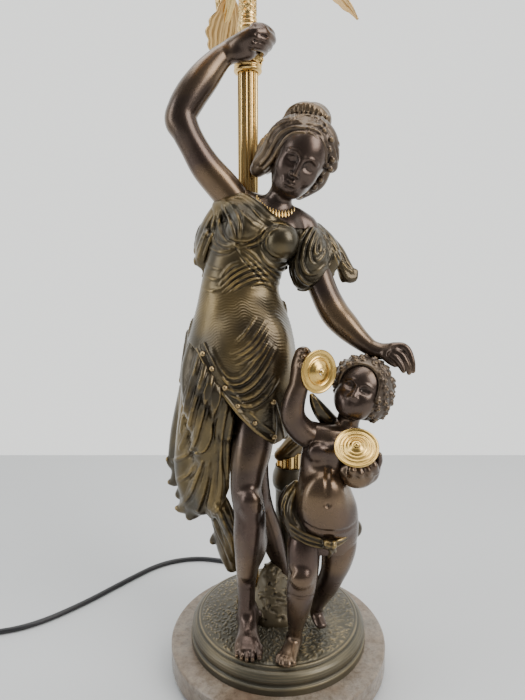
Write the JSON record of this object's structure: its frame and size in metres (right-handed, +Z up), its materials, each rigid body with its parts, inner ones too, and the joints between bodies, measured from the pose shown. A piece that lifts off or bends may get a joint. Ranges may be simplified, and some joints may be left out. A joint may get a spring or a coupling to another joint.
{
  "type": "figural table lamp",
  "caption": "Table lamp: a draped figure holding a fluted brass column with a scroll-arm candelabra, a child with cymbals beside it, on a round base and stone plinth.",
  "frame": {"origin": "middle of the felt's underside, on the plinth's axis", "axes": "+Z up; the figures face -Y; +X to the viewer's right"},
  "size_m": [0.4818, 0.3533, 0.787],
  "materials": {
    "felt": "wool felt, matt",
    "stone": "polished mottled grey-brown marble",
    "bronze_dark": "dark patinated cast metal, satin, rubbed on the rims",
    "bronze_skin": "chocolate-brown patina, satin with a soft sheen",
    "bronze_cloth": "olive-brown patina with gilt rubbed along the folds",
    "gilt_brass": "polished and lacquered",
    "cymbal_brass": "turned rings, bright",
    "steel": "zinc plated",
    "candle_card": "ivory tube, matt",
    "holder_plastic": "moulded, black",
    "bulb_glass": "clear glass",
    "bulb_cap": "pressed screw cap",
    "terminal": "moulded terminal block",
    "black_plastic": "moulded, fine satin",
    "cord_black": "smooth round flex, satin",
    "pin_metal": "nickel plated"
  },
  "bodies": {
    "lamp": {"felt_pad": "felt", "stone_plinth": "stone", "bronze_base": "bronze_dark", "rock_outcrop": "bronze_dark", "pedestal": "bronze_dark", "figure_bolts": "steel", "tie_rod": "steel", "rod_fixings": "steel", "cymbal_pins": "steel", "column_foot": "gilt_brass", "column_shaft": "gilt_brass", "column_collar": "gilt_brass", "leaf_capital": "gilt_brass", "column_knop": "gilt_brass", "candelabra_stem": "gilt_brass", "candelabra_hub": "gilt_brass", "finial": "gilt_brass", "scroll_arm_1": "gilt_brass", "drip_pan_1": "gilt_brass", "candle_sleeve_1": "candle_card", "bulb_1": "bulb_glass", "scroll_arm_2": "gilt_brass", "drip_pan_2": "gilt_brass", "candle_sleeve_2": "candle_card", "bulb_2": "bulb_glass", "scroll_arm_3": "gilt_brass", "drip_pan_3": "gilt_brass", "candle_sleeve_3": "candle_card", "bulb_3": "bulb_glass", "lampholders": "holder_plastic", "bulb_caps": "bulb_cap", "terminal_block": "terminal", "dress_bodice": "bronze_cloth", "dress_skirt": "bronze_cloth", "hanging_drape": "bronze_cloth", "back_drape": "bronze_cloth", "sleeve": "bronze_cloth", "loincloth": "bronze_cloth", "woman_head": "bronze_skin", "raised_arm": "bronze_skin", "lowered_arm": "bronze_skin", "standing_leg": "bronze_skin", "trailing_leg": "bronze_skin", "child_body": "bronze_skin", "child_head": "bronze_skin", "child_right_arm": "bronze_skin", "child_left_arm": "bronze_skin", "child_right_leg": "bronze_skin", "child_left_leg": "bronze_skin", "cord_bush": "black_plastic", "switch_housing": "black_plastic", "plug": "black_plastic", "inner_lead": "cord_black", "cord_lead": "cord_black", "cord_middle": "cord_black", "cord_coil": "cord_black", "plug_pins": "pin_metal"},
    "upper_cymbal": {"cymbal_upper": "cymbal_brass"},
    "lower_cymbal": {"cymbal_lower": "cymbal_brass"},
    "rocker": {"switch_rocker": "black_plastic"}
  },
  "joints": [
    {"name": "upper_cymbal_spin", "type": "hinge", "parent": "lamp", "child": "upper_cymbal", "pos_m": [0.0285, -0.0655, 0.2935], "axis": [0.5517, -0.8325, 0.0502], "continuous": true},
    {"name": "lower_cymbal_spin", "type": "hinge", "parent": "lamp", "child": "lower_cymbal", "pos_m": [0.0585, -0.077, 0.2345], "axis": [-0.1003, -0.6516, 0.7519], "continuous": true},
    {"name": "switch_rock", "type": "hinge", "parent": "lamp", "child": "rocker", "pos_m": [-0.35254, -0.04356, 0.0125], "axis": [0.9848, -0.1736, 0], "range_deg": [-8, 8]}
  ]
}
